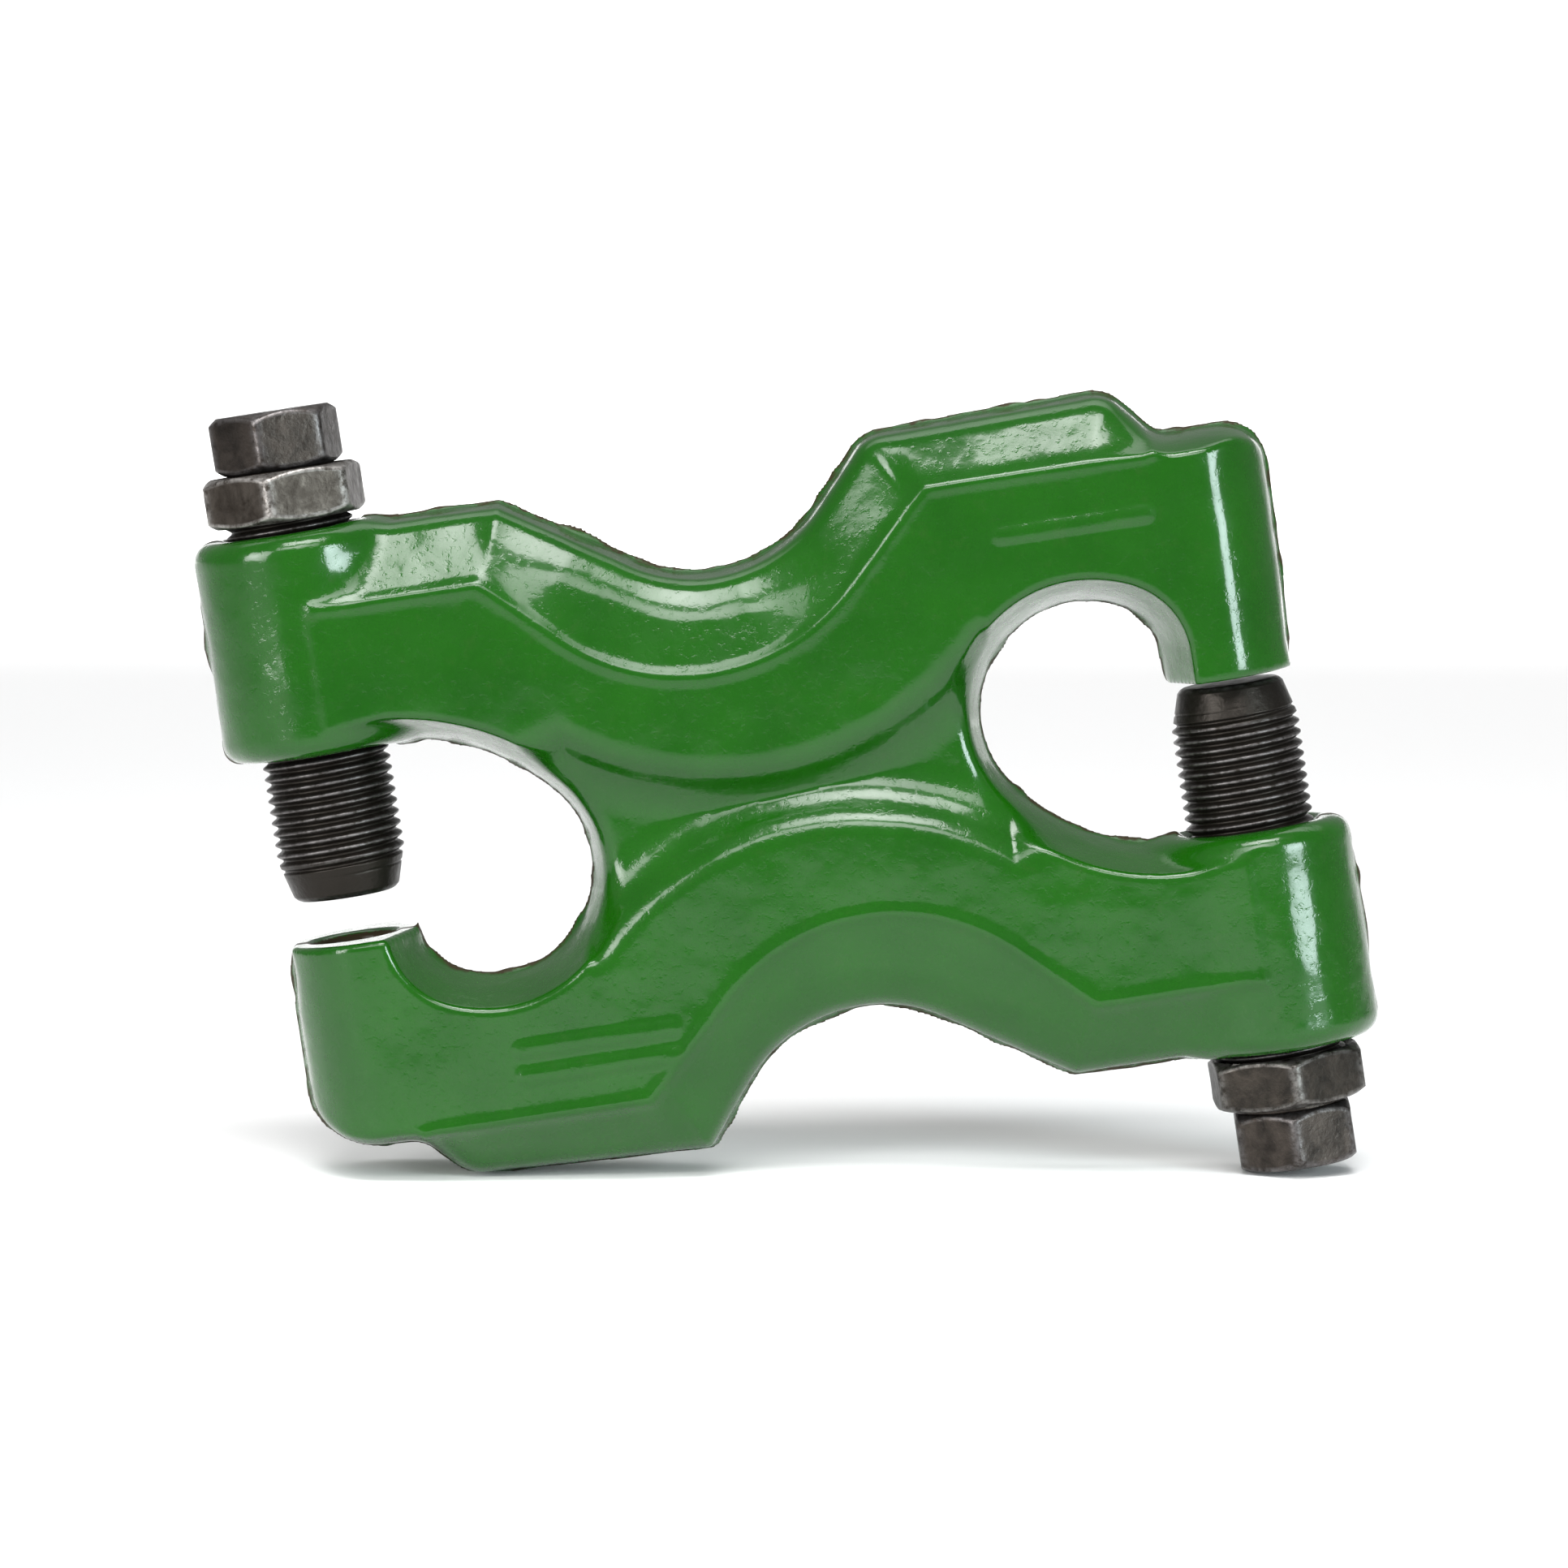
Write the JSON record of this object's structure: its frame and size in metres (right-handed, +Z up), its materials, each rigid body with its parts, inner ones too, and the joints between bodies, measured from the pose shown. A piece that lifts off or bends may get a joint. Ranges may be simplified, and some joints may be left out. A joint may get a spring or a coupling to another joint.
{
  "type": "double jaw pipe clamp",
  "caption": "Cast X-shaped clamp with a C jaw at each end, each closed by a hex-headed set screw and lock nut.",
  "frame": {"origin": "middle of the standing clamp's base, midway between the two jaws and through the thickness", "axes": "+X from the left jaw to the right jaw, +Y through the thickness away from the viewer, +Z up; the casting leans 8.6 degrees, as it stands"},
  "size_m": [0.194, 0.0324, 0.1283],
  "materials": {
    "green_enamel": "glossy green enamel over a sand casting",
    "screw_black_oxide": "black oxide",
    "nut_worn_steel": "worn black oxide with bare bright edges",
    "nut_black_oxide": "black oxide"
  },
  "bodies": {
    "clamp_body": {"clamp_body": "green_enamel"},
    "left_lock_nut": {"left_lock_nut": "nut_worn_steel"},
    "left_set_screw": {"left_set_screw": "screw_black_oxide"},
    "right_lock_nut": {"right_lock_nut": "nut_black_oxide"},
    "right_set_screw": {"right_set_screw": "screw_black_oxide"}
  },
  "joints": [
    {"name": "left_feed", "type": "slide", "parent": "clamp_body", "child": "left_lock_nut", "axis": [0.1495, 0, -0.9888], "range_m": [-0.02555, 0.00121]},
    {"name": "left_turn", "type": "hinge", "parent": "left_lock_nut", "child": "left_set_screw", "pos_m": [-0.07337, 0, 0.05237], "axis": [0.1495, 0, -0.9888], "range_deg": [-5070, 240]},
    {"name": "right_feed", "type": "slide", "parent": "clamp_body", "child": "right_lock_nut", "axis": [-0.1495, 0, 0.9888], "range_m": [-0.02404, 0.00091]},
    {"name": "right_turn", "type": "hinge", "parent": "right_lock_nut", "child": "right_set_screw", "pos_m": [0.07337, 0, 0.07456], "axis": [-0.1495, 0, 0.9888], "range_deg": [-4770, 180]}
  ],
  "couplings": [
    {"joint": "left_feed", "follows": "left_turn", "m_per_rad": 0.00028871},
    {"joint": "right_feed", "follows": "right_turn", "m_per_rad": 0.00028871}
  ]
}
